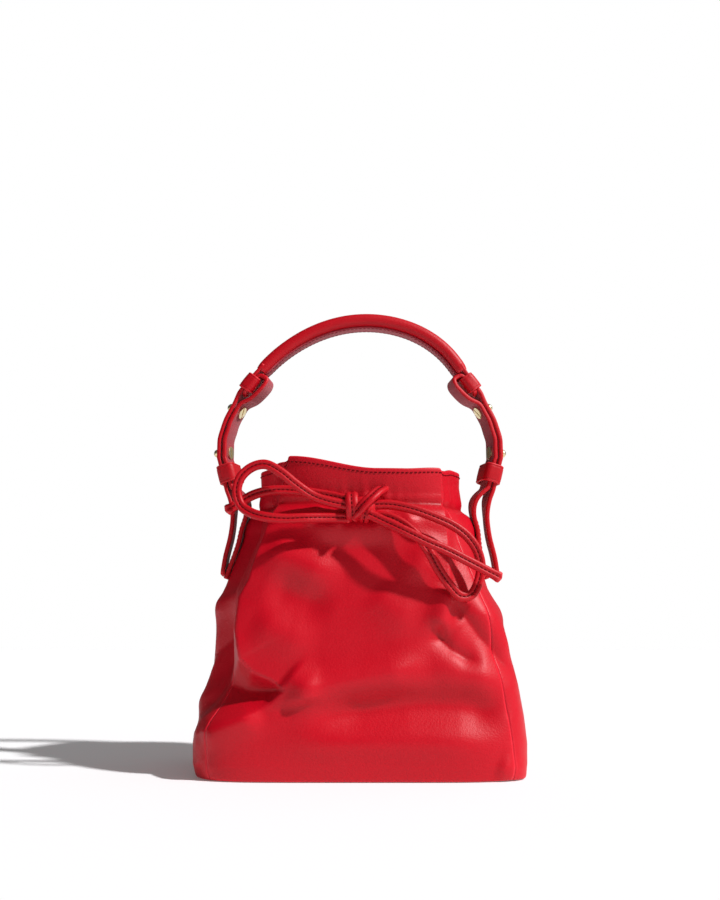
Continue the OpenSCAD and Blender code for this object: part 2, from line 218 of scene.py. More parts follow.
def add(tree, kind, feeds=None, **settings):
    """A shader node: feeds are its inputs, by name or number, as values or as another node's output."""
    new = tree.nodes.new("ShaderNode" + kind)
    for key, value in settings.items():
        setattr(new, key, value)
    for key, value in (feeds or {}).items():
        if isinstance(value, bpy.types.NodeSocket):
            tree.links.new(value, new.inputs[key])
        else:
            new.inputs[key].default_value = value
    return new


def ramp(tree, value, stops):
    """A colour ramp over value, with stops of position and hex colour."""
    new = add(tree, "ValToRGB", {"Fac": value})
    for i, (place, code) in enumerate(stops):
        element = new.color_ramp.elements[i] if i < 2 else new.color_ramp.elements.new(place)
        element.position = place
        element.color = linear(code)
    return new
def new_material(name, values):
    """A material, its node tree and its shader, with some of the shader's own sockets set."""
    material = bpy.data.materials.new(name)
    material.use_nodes = True
    shader = material.node_tree.nodes["Principled BSDF"]
    for socket, value in values.items():
        shader.inputs[socket].default_value = value
    return material, material.node_tree, shader


def finish_with(tree, shader, colour, bump):
    """Feeds the shader its colour and its relief."""
    tree.links.new(colour.outputs["Color"], shader.inputs["Base Color"])
    tree.links.new(bump.outputs["Normal"], shader.inputs["Normal"])

# %% [markdown]
# ## Leather
# The bag is smooth calf leather, dyed through and finished with a thin clear coat: a fine pebble about
# 1 mm across, fainter hair-cell pores and a soft even gloss. Its colour is lighter on a ridge, a painted
# highlight, and darker in a crease, painted shade, both read from the mesh's curvature and mixed with a
# random drift of tone. The straps, the folded lace and the suede-like flesh side are the same hide with
# another finish, so one recipe serves with a few values changed. Cell sizes are worked out from
# millimetres: a texture scale of 1000 / size gives cells of that size.

# %% Leather recipe
def make_leather(name, shades, pebble=1.2, relief=0.30, rough=0.44, coat=0.05, dust=0.0):
    """Leather with a pebble of that many mm, its colour running from painted crease shade to painted ridge
    highlight.
    """
    values = {"IOR": 1.45, "Specular IOR Level": 0.3, "Coat Weight": coat, "Coat Roughness": 0.34}
    if dust:
        values.update({"Sheen Weight": dust, "Sheen Roughness": 0.5})
    material, tree, shader = new_material(name, values)
    place = add(tree, "TexCoord").outputs["Object"]
    cells = add(tree, "TexVoronoi", {"Vector": place, "Scale": 1000 / pebble, "Randomness": 0.9},
                feature="SMOOTH_F1")
    pores = add(tree, "TexNoise", {"Vector": place, "Scale": 1000 / (pebble * 0.45), "Detail": 3.0})
    cloud = add(tree, "TexNoise", {"Vector": place, "Scale": 1000 / 38, "Detail": 3.0, "Roughness": 0.55})
    # Pointiness paints light into the colour: ridges lighter as a painted highlight, creases darker as
    # painted shade.
    painted_light_curvature = add(tree, "NewGeometry").outputs["Pointiness"]
    bent = add(tree, "MapRange", {"Value": painted_light_curvature, "From Min": 0.44, "From Max": 0.56})
    mixed = add(tree, "Math", {0: cloud.outputs["Fac"], 1: 0.35, 2: bent.outputs[0]},
                operation="MULTIPLY_ADD")
    level = add(tree, "MapRange", {"Value": mixed.outputs[0], "From Min": 0.25, "From Max": 1.15})
    gloss = add(tree, "MapRange", {"Value": cloud.outputs["Fac"], "From Min": 0.3, "From Max": 0.7,
                                   "To Min": rough - 0.05, "To Max": rough + 0.07})
    tree.links.new(gloss.outputs[0], shader.inputs["Roughness"])
    grain = add(tree, "Math", {0: cells.outputs["Distance"], 1: pores.outputs["Fac"]}, operation="ADD")
    bump = add(tree, "Bump", {"Height": grain.outputs[0], "Strength": relief, "Distance": 0.4 * MM})
    finish_with(tree, shader, ramp(tree, level.outputs[0], shades), bump)
    return material


# These ramps run from painted crease shade at 0 to painted ridge highlight at 1, around each leather's own
# colour.
RED = [(0.0, "#a80012"), (0.42, "#c2001a"), (0.75, "#c8041e"), (1.0, "#d81c2e")]
calf_leather = make_leather("smooth_calf_leather", RED)
strap_leather = make_leather("strap_leather_painted_edges",
                             [(0.0, "#980010"), (0.45, "#b80014"), (0.8, "#c4061a"), (1.0, "#d62a34")],
                             pebble=1.0, relief=0.30, rough=0.46)
lace_leather = make_leather("folded_lace_leather",
                            [(0.0, "#8a000e"), (0.4, "#b40014"), (0.8, "#c4061a"), (1.0, "#d8323a")],
                            pebble=0.8, relief=0.30, rough=0.42)
flesh_side = make_leather("flesh_side_suede",
                          [(0.0, "#680a18"), (0.5, "#981628"), (1.0, "#b23a48")],
                          pebble=0.7, relief=0.40, rough=0.75, coat=0.0, dust=0.25)
print("leathers:", calf_leather.name, strap_leather.name, lace_leather.name, flesh_side.name)

# %% [markdown]
# ## Thread, cloth, board, filler and metal
# The thread is waxed polyester, a shade darker than the leather. The lining is a basket-woven cotton, its
# bands nearly 4 mm apart so that they can be seen. The base board is pressed fibre, and the studs are brass
# with a pale gold plating, polished on a wheel.

# %% The other materials
def make_plain(name, shades, rough, metal=0.0, spot=4.0, relief=0.1, shine=0.5):
    """A material whose colour drifts over spots of that many mm, with a fine matching relief."""
    values = {"Roughness": rough, "Metallic": metal, "Specular IOR Level": shine}
    material, tree, shader = new_material(name, values)
    place = add(tree, "TexCoord").outputs["Object"]
    drift = add(tree, "TexNoise", {"Vector": place, "Scale": 1000 / spot, "Detail": 4.0})
    fine = add(tree, "TexNoise", {"Vector": place, "Scale": 1000 / (spot * 0.2), "Detail": 2.0})
    bump = add(tree, "Bump", {"Height": fine.outputs["Fac"], "Strength": relief, "Distance": 0.2 * MM})
    finish_with(tree, shader, ramp(tree, drift.outputs["Fac"], shades), bump)
    return material


def make_cloth(name, shades, band_gap):
    """A basket weave: two sets of bands that many mm apart, one across the other."""
    material, tree, shader = new_material(name, {"Roughness": 0.85, "Sheen Weight": 0.05})
    place = add(tree, "TexCoord").outputs["Object"]
    scale = 1000 * 2 * math.pi / 20 / band_gap  # a wave texture turns through 20 radians at scale 1
    bands = [add(tree, "TexWave", {"Vector": place, "Scale": scale, "Distortion": 0.6, "Detail": 1.0},
                 bands_direction=way).outputs["Fac"] for way in ("X", "Z")]
    weave = add(tree, "Math", {0: bands[0], 1: bands[1]}, operation="MULTIPLY").outputs[0]
    bump = add(tree, "Bump", {"Height": weave, "Strength": 0.4, "Distance": 0.2 * MM})
    finish_with(tree, shader, ramp(tree, weave, shades), bump)
    return material


thread = make_plain("waxed_thread", [(0.3, "#5c0008"), (0.7, "#7c0410")], 0.7, spot=2.0, relief=0.3,
                    shine=0.1)
fibre_board = make_plain("pressed_fibre_board", [(0.3, "#8d7757"), (0.7, "#b39c77")], 0.9, spot=3.0)
gold_plate = make_plain("pale_gold_plated_brass", [(0.3, "#e6d2a0"), (0.7, "#f2e4c0")], 0.34, metal=1.0,
                        spot=3.0, relief=0.04)
lining_cloth = make_cloth("woven_cotton_lining", [(0.0, "#58121a"), (1.0, "#8e2f38")], 1.2 * math.pi)
print("others:", thread.name, fibre_board.name, gold_plate.name, lining_cloth.name)

# %% [markdown]
# ## The bow's two laces
# The lace is a leather strip folded in on both sides and stitched down its middle, about 6.5 mm wide and
# 4 mm thick, so its face shows two round ridges with a stitched groove between. It is stiff enough to
# hold its loops. The routes run from the knot, in millimetres. A swept section keeps the width
# and the groove all along, which a bevelled curve can't twist so evenly. Two loops go back into the knot,
# and two cut ends hang free.

# %% Lace section and routes
LACE_W, LACE_T, GROOVE = 6.4, 4.2, 0.9


def lace_section(count=28):
    """Two ridges with a groove between on the face, a flatter back."""
    out = []
    for i in range(count):
        a = 2 * math.pi * i / count
        x = LACE_W / 2 * math.copysign(abs(math.cos(a)) ** 0.8, math.cos(a))
        y = LACE_T / 2 * math.copysign(abs(math.sin(a)) ** 0.7, math.sin(a))
        out.append((x, y - (GROOVE if y > 0 else -0.5) * math.exp(-(x / 0.75) ** 2)))
    return np.array(out)


LACE_ROUTES = {
    "bow_loop_left": [
        (-7, -65, 171), (-18, -65, 173), (-30, -65, 177), (-42, -66, 185), (-52, -66, 193),
        (-62, -65, 198), (-71, -64, 196), (-78, -64, 189), (-80, -64, 180), (-77, -65, 171),
        (-70, -67, 166), (-60, -69, 163), (-48, -69, 162), (-36, -68, 162.5), (-22, -65, 163),
        (-7, -63, 163)],
    "bow_loop_right": [
        (7, -61, 172), (20, -61, 172), (34, -62, 169), (48, -62, 164), (61, -61, 158), (70, -60, 151),
        (76, -59, 142), (78, -59, 132), (76, -60, 122), (71, -62, 114), (64, -64, 113), (57, -65, 120),
        (50, -66, 130), (44, -67, 141), (37, -66, 151), (28, -64, 159), (18, -62, 164), (7, -61, 165)],
    "bow_tail_left": [
        (-6, -59, 175), (-20, -57, 178.5), (-32, -57, 180.5), (-45, -57, 182), (-58, -57, 182),
        (-70, -57, 179), (-80, -57, 173), (-88, -58, 168)],
    "bow_tail_right": [
        (6, -68, 165), (16, -70, 160), (28, -73, 154), (42, -74, 147), (56, -73, 141), (70, -71, 134),
        (80, -69, 129), (90, -67, 124)]}


# %% Stitches
def stitch_row(path, normals, pitch=3.0, length=2.1, thick=0.55, lift=0.12):
    """A row of short thread capsules along a path, each lying on the surface that normals give."""
    rows, sides = 7, 6
    run = run_of(path)
    middles = np.arange(pitch / 2, run[-1], pitch)

    def at(s, values):
        values = np.broadcast_to(np.asarray(values, float), path.shape)
        return np.stack([np.interp(s, run, values[:, k]) for k in range(3)], axis=1)

    centre, normal = at(middles, path), unit(at(middles, normals))
    ahead = unit(at(middles + 0.4, path) - at(middles - 0.4, path))
    side = unit(np.cross(ahead, normal))
    normal = np.cross(side, ahead)
    faces = row_faces(rows, sides, closed=True)
    faces += [tuple(range(sides)), tuple(range((rows - 1) * sides, rows * sides))]
    parts = []
    for c, n, a, s in zip(centre, normal, ahead, side):
        rings = []
        for t in np.linspace(-1, 1, rows):
            radius = thick / 2 * math.sqrt(max(1 - t**4, 0.04))
            for i in range(sides):
                w = 2 * math.pi * i / sides
                rings.append(c + a * t * length / 2 + s * radius * math.cos(w)
                             + n * (lift + radius * math.sin(w)))
        parts.append((rings, faces))
    return joined(parts)


# %% Laces
def toward(path, direction):
    """The part of a direction that is square to the path, at each of its points."""
    heading = unit(np.gradient(path, axis=0))
    d = np.broadcast_to(np.asarray(direction, float), path.shape)
    return unit(d - heading * (d * heading).sum(-1, keepdims=True))


lace_stitches = []


def stitch_lace(path, face):
    """The thread in the lace's groove."""
    lace_stitches.append(stitch_row(path + face * (LACE_T / 2 - GROOVE), face, pitch=2.9, length=2.0,
                                    thick=0.85, lift=0.25))


for name, route in LACE_ROUTES.items():
    line = smooth_path(route, 1.2)
    face = toward(line, (0.0, -1.0, 0.12))
    section = np.repeat(lace_section()[None], len(line), axis=0)
    if "tail" in name:  # a cut end is rounded over by its edge paint, and swells a little
        left = run_of(line)[-1] - run_of(line)
        section = section * (1 + 0.16 * np.exp(-((left - 2.2) / 1.8) ** 2))[:, None, None]
        section = section * rounded_off(left, 1.6, 0.05)[..., None]
    lace = make_piece(name.replace("bow", "lace"), sweep(line, section, face), "bag", "lace_leather",
                      lace_leather)
    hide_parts(name)
    stitch_lace(line[:-3], face[:-3])
    print(name, "is", round(run_of(line)[-1], 1), "mm long")

# %% [markdown]
# The knot is the same lace: a wrap round the front, a second one half behind it, and a strand that leaves
# it upwards to the right. A rounded core fills the middle, where the strands press on each other.

# %% Knot and cords
KNOT = np.array((-1.5, -62.0, 170.5))


def wrap(offset, half_y, half_z, width_share, turn=0.0):
    """One turn of the lace round the knot, about an axis near X that is turned by some degrees."""
    a = np.linspace(0, 2 * math.pi, 72, endpoint=False)
    circle = np.stack([0 * a, np.cos(a), np.sin(a)], axis=1)
    ring, out = circle * (1, half_y, half_z), unit(circle / (1, half_y, half_z))
    c, s = math.cos(math.radians(turn)), math.sin(math.radians(turn))
    spin = np.array([[c, 0, s], [0, 1, 0], [-s, 0, c]])
    path, out = ring @ spin.T + KNOT + offset, out @ spin.T
    front = slice(24, 60)
    stitch_lace(path[front], out[front])
    return sweep(path, lace_section() * (width_share, 1.0), out, loop=True)


def poled_faces(rings, sides):
    """Faces of a body of rings that a point closes at each end: the first point and the last one."""
    last = rings * sides + 1
    faces = row_faces(rings, sides, closed=True, shift=1)
    for i in range(sides):
        k = (i + 1) % sides
        faces += [(0, 1 + i, 1 + k), (last, last - sides + k, last - sides + i)]
    return faces


def lump(centre, radii, rows=18, sides=28):
    """A closed rounded lump."""
    centre, radii = np.array(centre), np.array(radii)
    points = [centre + radii * (0, 0, 1)]
    for i in range(1, rows):
        b = math.pi * i / rows
        for j in range(sides):
            a = 2 * math.pi * j / sides
            points.append(centre + radii * (math.sin(b) * math.cos(a), math.sin(b) * math.sin(a),
                                            math.cos(b)))
    points.append(centre - radii * (0, 0, 1))
    return np.array(points), poled_faces(rows - 1, sides)


parts = [lump((1.0, -60.5, 169.5), (9.5, 6.5, 8.0)), wrap((-3.6, 0, 0), 6.2, 8.0, 1.3, turn=-3),
         wrap((5.2, 2.2, -2.0), 5.0, 6.4, 1.05, turn=10)]
strand = smooth_path([(-4, -65, 164), (-1, -69.5, 167), (3, -71, 171.5), (8, -69.5, 176.5),
                      (12, -65, 180.5), (15, -59, 182.5), (15.5, -52.5, 181)], 1.0)
strand_face = toward(strand, (-0.3, -1.0, 0.5))
stitch_lace(strand[4:], strand_face[4:])
parts.append(sweep(strand, lace_section() * (1.2, 1.0), strand_face))
knot = make_piece("lace_knot", joined(parts), "bag", "lace_leather", lace_leather)
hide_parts("bow_knot")
lace_thread = make_piece("lace_stitches", joined(lace_stitches), "bag", "lace_leather", thread)

# %% [markdown]
# ## The shell's shape
# A gathered bag is a loft: a squarish outline on a stiff base that narrows and rounds towards the mouth,
# then the folds that the spare leather falls into. Cloth simulation would find folds of its own, and this
# bag needs its particular ones, so each fold is placed in a flat chart of the wall and pushed in
# or out along the wall's own normal. The panels, the lining, the facing and the hidden lace all read the
# same surface, at their own depth, so they never cut through each other.

# %% The plain outline
gusset_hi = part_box("right_gusset")[1]
front_lo, front_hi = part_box("front_panel")
sewn_lo, sewn_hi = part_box("tab_root_right")
HALF_W, HALF_D, RIM_Z = gusset_hi.x / MM, -front_lo.y / MM, front_hi.z / MM
TAB_FOOT, TAB_Z = sewn_lo.z / MM, sewn_hi.z / MM
LACE_Z = RIM_Z - 28
MOUTH_W, MOUTH_D = 73.0, 50.0
NECK_W, NECK_D = MOUTH_W + 1.5, MOUTH_D - 2.0
LEATHER_T, LINING_OFF = 1.4, 2.9

SHARES = np.array([  # height as a share of the tab's foot, then width and depth from neck (0) to base (1)
    (0, 0.925, 0.89), (0.064, 0.985, 0.97), (0.16, 1, 1), (0.288, 0.96, 1), (0.448, 0.875, 0.95),
    (0.64, 0.735, 0.835), (0.832, 0.595, 0.72), (1, 0.42, 0.58)])
sewn = TAB_Z - TAB_FOOT
LEVELS = np.array(
    [(TAB_FOOT * z, NECK_W + w * (HALF_W - NECK_W), NECK_D + d * (HALF_D - NECK_D)) for z, w, d in SHARES]
    + [(TAB_FOOT + sewn * k, NECK_W + w * (HALF_W - NECK_W), NECK_D + d * (HALF_D - NECK_D))
       for k, w, d in ((0.35, 0.29, 0.47), (0.7, 0.19, 0.33), (1, 0.127, 0.19))]
    + [(LACE_Z, NECK_W + 1, NECK_D + 1), (LACE_Z + 8.4, NECK_W, NECK_D),
       (LACE_Z + 16.8, MOUTH_W, MOUTH_D - 1), (RIM_Z, MOUTH_W, MOUTH_D)])


def halves(z):
    """Half width, half depth and squareness of the outline at height z."""
    square = np.interp(z, [0, TAB_FOOT, LACE_Z], [5.5, 4.25, 3.0])
    return np.interp(z, LEVELS[:, 0], LEVELS[:, 1]), np.interp(z, LEVELS[:, 0], LEVELS[:, 2]), square


def soften(x):
    x = np.clip(x, 0, 1)
    return x * x * (3 - 2 * x)


# %% [markdown]
# A fold is a short line in the chart with a height, positive outwards, and a width on each side. Sharp
# folds fall away like a crease in thick paper, soft ones like a wave. The chart's first axis is the
# distance round the wall from the middle of the front or back, its second the height.

# %% Folds
def to_line(line, q, z):
    """Distance of chart points to a line, how far along it they are (0 to 1), and on which side."""
    line = np.asarray(line, float)
    best = np.full(q.shape, 1e9)
    along, side = np.zeros(q.shape), np.ones(q.shape)
    lengths = np.linalg.norm(np.diff(line, axis=0), axis=1)
    start = np.concatenate([[0], np.cumsum(lengths)]) / lengths.sum()
    for i, (a, b) in enumerate(zip(line[:-1], line[1:])):
        d = b - a
        t = np.clip(((q - a[0]) * d[0] + (z - a[1]) * d[1]) / (d @ d), 0, 1)
        dq, dz = q - a[0] - t * d[0], z - a[1] - t * d[1]
        far = np.hypot(dq, dz)
        near = far < best
        best = np.where(near, far, best)
        along = np.where(near, start[i] + t * (start[i + 1] - start[i]), along)
        side = np.where(near, np.sign(d[0] * dz - d[1] * dq), side)
    return best, along, side


def fold(q, z, line, height, left, right, sharp=False, ends=(0.3, 0.3)):
    """Height of one fold at chart points. left and right are its widths on each side of its line, and
    ends are the shares of the line over which it fades at its two ends."""
    far, along, side = to_line(line, q, z)
    width = np.where(side > 0, left, right)
    if sharp:
        shape = np.exp(-(np.sqrt(far**2 + 1.4) - 1.18) / width)
    else:
        shape = np.exp(-(far / width) ** 2)
    fade = soften(along / ends[0]) * (soften((1 - along) / ends[1]) if ends[1] else 1.0)
    return height * shape * fade


def folded(q, z, folds):
    """The heights of several folds together."""
    return sum((fold(q, z, *one) for one in folds), np.zeros(q.shape))


def inside(polygon, q, z):
    """Whether chart points lie in a polygon, by counting crossings."""
    odd = np.zeros(q.shape, bool)
    corners = np.asarray(polygon, float)
    for a, b in zip(corners, np.roll(corners, -1, axis=0)):
        crosses = (a[1] > z) != (b[1] > z)
        at = a[0] + (z - a[1]) * (b[0] - a[0]) / (b[1] - a[1] if b[1] != a[1] else 1e-9)
        odd ^= crosses & (q < at)
    return odd


# %% The folds and the outward push that they give
LEFT_RIDGE = [(-47, 215), (-49, 199), (-54, 180), (-64, 150), (-71, 124), (-77, 113), (-79, 92), (-76, 74),
              (-68, 66), (-56, 61), (-47, 55)]
LEFT_FOOT = [(-47, 55), (-55, 47), (-66, 41), (-80, 36), (-104, 28), (-150, 24)]
RIGHT_RIDGE = [(54, 215), (55, 199), (56, 177), (58, 150), (58, 125), (57, 104)]
FRONT_FOLDS = [
    # line, height, width on its left and right, then whether it is sharp and how its two ends fade
    ([(-56, 168), (-64, 150), (-71, 124), (-77, 113), (-79, 92), (-76, 74), (-66, 65)],
     2.6, 9, 12, True, (.3, .2)),
    ([(-47, 64), (-38, 56), (-36, 44)], 4.0, 10, 13, False, (.2, .3)),
    ([(-47, 58), (-24, 57), (0, 61), (22, 66), (46, 73)], 5.4, 10, 15, False, (.2, .3)),
    ([(-40, 38), (-10, 42), (30, 46), (64, 45), (100, 38)], -7.0, 12, 13, False, (.3, .2)),
    ([(-62, 22), (0, 25), (60, 24), (96, 20)], 2.6, 11, 11),
    ([(-58, 42), (-80, 33), (-104, 23)], 4.0, 8, 8),
    ([(57, 122), (54, 106), (50, 90)], 4.0, 6, 8),
    ([(50, 96), (51, 87), (58, 80), (67, 75), (80, 70)], -5.0, 5, 6.5, True, (.25, .35)),
    ([(62, 114), (68, 101), (78, 88), (92, 74), (108, 60)], -4.6, 6.5, 8, True, (.2, .35)),
    ([(66, 118), (80, 101), (97, 84), (112, 70)], 2.4, 9, 10),
    ([(48, 84), (66, 66), (92, 56)], 1.8, 9, 12),
    ([(-60, 152), (-48, 140), (-30, 132), (-8, 128)], 4.0, 10, 14, False, (.25, .4)),
    ([(-62, 120), (-40, 112), (-14, 104)], -2.8, 12, 12, False, (.3, .4)),
    ([(-70, 100), (-46, 88), (-24, 84)], 2.2, 10, 12, False, (.3, .4)),
    ([(48, 158), (40, 138), (36, 118)], 2.6, 10, 9, False, (.3, .4)),
    ([(8, 120), (22, 104), (40, 96)], 2.0, 12, 12, False, (.3, .4)),
    ([(-40, 160), (-10, 156), (20, 156), (44, 160)], 3.4, 8, 11),
    ([(-34, 147), (-6, 145), (26, 148)], -1.6, 7, 8),
    ([(-26, 174), (-36, 158)], 1.7, 3.2, 4.5, False, (.2, .5)),
    ([(-10, 172), (-15, 156)], 1.6, 2.8, 3.8, False, (.2, .5)),
    ([(11, 172), (15, 155)], 1.7, 3.2, 3.2, False, (.2, .5)),
    ([(27, 173), (38, 157)], 1.5, 3.5, 4.0, False, (.2, .5)),
    ([(84, 10), (95, 5), (104, 0)], 2.4, 9, 8, False, (.3, 0)),
    ([(-104, 10), (-101, 0)], -0.8, 7, 7, False, (.3, 0))]
BACK_FOLDS = [
    ([(-60, 168), (-66, 140), (-72, 112), (-66, 84)], -4.0, 5, 9, True, (.2, .35)),
    ([(58, 170), (66, 138), (75, 108), (84, 84)], -4.5, 8, 5, True, (.2, .35)),
    ([(-30, 60), (4, 52), (44, 58), (80, 48)], -3.2, 11, 13),
    ([(-92, 62), (-60, 78), (-24, 82)], 2.8, 10, 9),
    ([(30, 150), (12, 122), (16, 98)], 2.2, 10, 12, False, (.3, .4)),
    ([(-20, 158), (-40, 128), (-36, 104)], -1.8, 10, 10, False, (.3, .4)),
    ([(-70, 24), (0, 22), (80, 24)], 1.6, 11, 11)]
GUSSET_FOLDS = {  # charted from the middle of the side, with the front seam at a negative distance
    -1: [([(-44, 116), (-22, 112), (0, 108), (20, 112)], 4.0, 7, 14, False, (.25, .4)),
         ([(-40, 96), (-14, 76), (6, 48)], -3.0, 6, 9, True, (.2, .35)),
         ([(-46, 62), (-20, 47), (14, 36)], 2.4, 7, 8, False, (.2, .4)),
         ([(26, 104), (18, 76), (30, 52)], -2.6, 8, 7, True, (.3, .35))],
    1: [([(-44, 92), (-18, 78), (8, 62)], -2.6, 7, 8, True, (.2, .35)),
        ([(-30, 112), (-8, 100), (16, 92)], 2.0, 9, 10, False, (.3, .4)),
        ([(30, 110), (20, 80), (28, 50)], -3.0, 8, 7, True, (.3, .35)),
        ([(-30, 40), (6, 34), (34, 42)], 1.6, 9, 9)]}


def sunk(q, z, edge, outline, depth, reach):
    """How far a region beside a ridge has sunk in: nothing on its edge, its full depth past reach."""
    far = to_line(edge, q, z)[0]
    return np.where(inside(outline, q, z), -depth * (1 - np.exp(-far / reach)), 0.0)


def front_push(q, z):
    """Outward push of the front's folds at chart distance q and height z."""
    push = folded(q, z, FRONT_FOLDS)
    depth = np.interp(z, [24, 36, 46, 56, 72, 92, 113, 124, 150, 175, 203],
                      [2, 5, 13, 18, 20, 20, 17, 16, 15, 13, 10])
    reach = np.interp(z, [40, 60, 90, 130, 175, 195], [9, 10, 14, 15, 7, 3.5])
    outline = LEFT_RIDGE + LEFT_FOOT + [(-200, 24), (-200, 215)]
    push += sunk(q, z, LEFT_RIDGE + LEFT_FOOT[1:], outline, depth, reach)
    depth = np.interp(z, [102, 112, 125, 150, 175, 203], [0.0, 1.6, 3.4, 6.0, 9.5, 8.5])
    outline = RIGHT_RIDGE + [(66, 100), (110, 90), (200, 90), (200, 215)]
    push += sunk(q, z, RIGHT_RIDGE, outline, depth, 4.5)
    gather = np.exp(-((z - LACE_Z) / np.where(z > LACE_Z, 13.0, 10.0)) ** 2)
    gather *= np.exp(-((q - 4) / 24) ** 2)
    fine = 0.55 * np.sin(q / 1.5 + 0.4 * np.sin(z / 5)) * np.sin(q / 5.3 + 0.7)
    return push + gather * (fine + 0.5 * np.sin(q / 3.1 + 1.1))


def back_push(q, z):
    """The same for the back, whose two ends fold in alike."""
    push = folded(q, z, BACK_FOLDS)
    for way in (-1, 1):
        edge = [(way * 52, 215), (way * 54, 180), (way * 62, 150), (way * 70, 128)]
        depth = np.interp(z, [128, 150, 175, 203], [0.0, 4.0, 9.0, 8.0])
        push += sunk(q, z, edge, edge + [(way * 200, 128), (way * 200, 215)], depth, 5.0)
    gather = np.exp(-((z - LACE_Z) / 16.0) ** 2)
    return push + gather * (1.1 * np.sin(q / 3.1) + 0.7 * np.sin(q / 1.9 + 0.6))


def side_push(s, z, way):
    """Push of a gusset's own folds, and the small lean of the body to the left."""
    lean_by = [0, 0, 0.6, 1.2, 2.6, 3.4, 2.6, 0.8, 0] if way < 0 else [0, 0, 0, 0, -1.6, -2.4, -1.2, 0, 0]
    return folded(s, z, GUSSET_FOLDS[way]) + np.interp(z, [0, 60, 85, 99, 112, 120, 140, 157, 172], lean_by)


# %% [markdown]
# The four panels meet at seams on the outline's corners. Each panel is sampled at even distances round
# the wall, so its quads stay square from base to mouth, and both neighbours compute the same seam. The
# two leathers dip into the seam by a fifth of a millimetre, which gives the fine line that shows a seam.

# %% The shell's surface
def outline_row(z, first, last, columns):
    """Points, outward normals and distances from the first seam, at even steps round part of the wall."""
    a, b, n = halves(z)
    fine = np.radians(np.linspace(first, last, 241))
    c, s = np.cos(fine), np.sin(fine)
    x, y = a * np.sign(c) * np.abs(c) ** (2 / n), b * np.sign(s) * np.abs(s) ** (2 / n)
    run = np.concatenate([[0], np.cumsum(np.hypot(np.diff(x), np.diff(y)))])
    even = np.linspace(0, run[-1], columns + 1)
    x, y = np.interp(even, run, x), np.interp(even, run, y)
    nx = np.sign(x) * np.abs(x / a) ** (n - 1) / a
    ny = np.sign(y) * np.abs(y / b) ** (n - 1) / b
    size = np.hypot(nx, ny)
    return x, y, nx / size, ny / size, even


def rim_height(x, y):
    """The rim's own height round the mouth: the front rises to the left, the sides stand nearly level."""
    front = 198.3 + 9.2 * soften((12 - x) / 62) - 1.8 * soften((-49 - x) / 8) + 1.4 * soften((x - 30) / 24)
    back = 202 + 1.6 * np.sin(x / 17.0)
    side = np.where(x < 0, 203.2, 202.4)
    blend = soften((np.abs(y) - 16) / 20)
    return side * (1 - blend) + np.where(y < 0, front, back) * blend


PANELS = {"front": (-135, -45), "right": (-45, 45), "back": (45, 135), "left": (135, 225)}


def wall(panel, heights, columns, inset=0.0):
    """Points of one panel's wall (rows, columns + 1, 3), inset along its true normal."""
    first, last = PANELS[panel]
    rows = [outline_row(z, first, last, columns) for z in heights]
    x, y, nx, ny, run = (np.array([row[i] for row in rows]) for i in range(5))
    z = np.repeat(np.asarray(heights, float)[:, None], columns + 1, axis=1)
    width = run[:, -1:]
    seam = np.minimum(run, width - run)
    if panel == "front":
        push = front_push(x, z)
    elif panel == "back":
        push = back_push(x, z)
    else:
        way = 1 if panel == "right" else -1
        corner = np.abs(x[:, :1])
        to_front = run if way > 0 else width - run
        near_front = 1 - soften((to_front - 20) / 30)
        near_back = 1 - soften((width - to_front - 20) / 30)
        push = near_front * front_push(way * (corner + to_front), z)
        push += near_back * back_push(way * (corner + width - to_front), z)
        middle = to_front - width / 2
        push += side_push(middle, z, way) * soften(seam / 14)
    lace_dip = 1.6 * np.exp(-((z - LACE_Z + 12) / 7) ** 2) - 1.6 * np.exp(-((z - LACE_Z) / 3.2) ** 2)
    push = push + lace_dip - 0.2 * np.exp(-seam / 0.7)
    top = rim_height(x, y)
    lift = np.where(z > LACE_Z, (z - LACE_Z) / (RIM_Z - LACE_Z) * (top - RIM_Z), 0.0)
    points = np.stack([x + nx * push, y + ny * push, z + lift], axis=-1)
    if np.any(inset):
        du, dv = np.gradient(points, axis=1), np.gradient(points, axis=0)
        normal = unit(np.cross(du, dv))
        points = points - normal * np.asarray(inset)[..., None]
    return points


def shell_solid(outer, inner):
    """Points and faces of the closed solid between two grids of points."""
    rows, columns = outer.shape[:2]
    half = rows * columns
    faces = row_faces(rows, columns) + row_faces(rows, columns, shift=half)
    for r in range(rows - 1):
        a, b = r * columns, r * columns + columns - 1
        faces += [(a, a + columns, a + columns + half, a + half),
                  (b, b + half, b + columns + half, b + columns)]
    for c in range(columns - 1):
        a, b = c, (rows - 1) * columns + c
        faces += [(a, a + half, a + 1 + half, a + 1), (b, b + 1, b + 1 + half, b + half)]
    return np.concatenate([outer.reshape(-1, 3), inner.reshape(-1, 3)]), faces


def normals_of(grid):
    return unit(np.cross(np.gradient(grid, axis=1), np.gradient(grid, axis=0)))


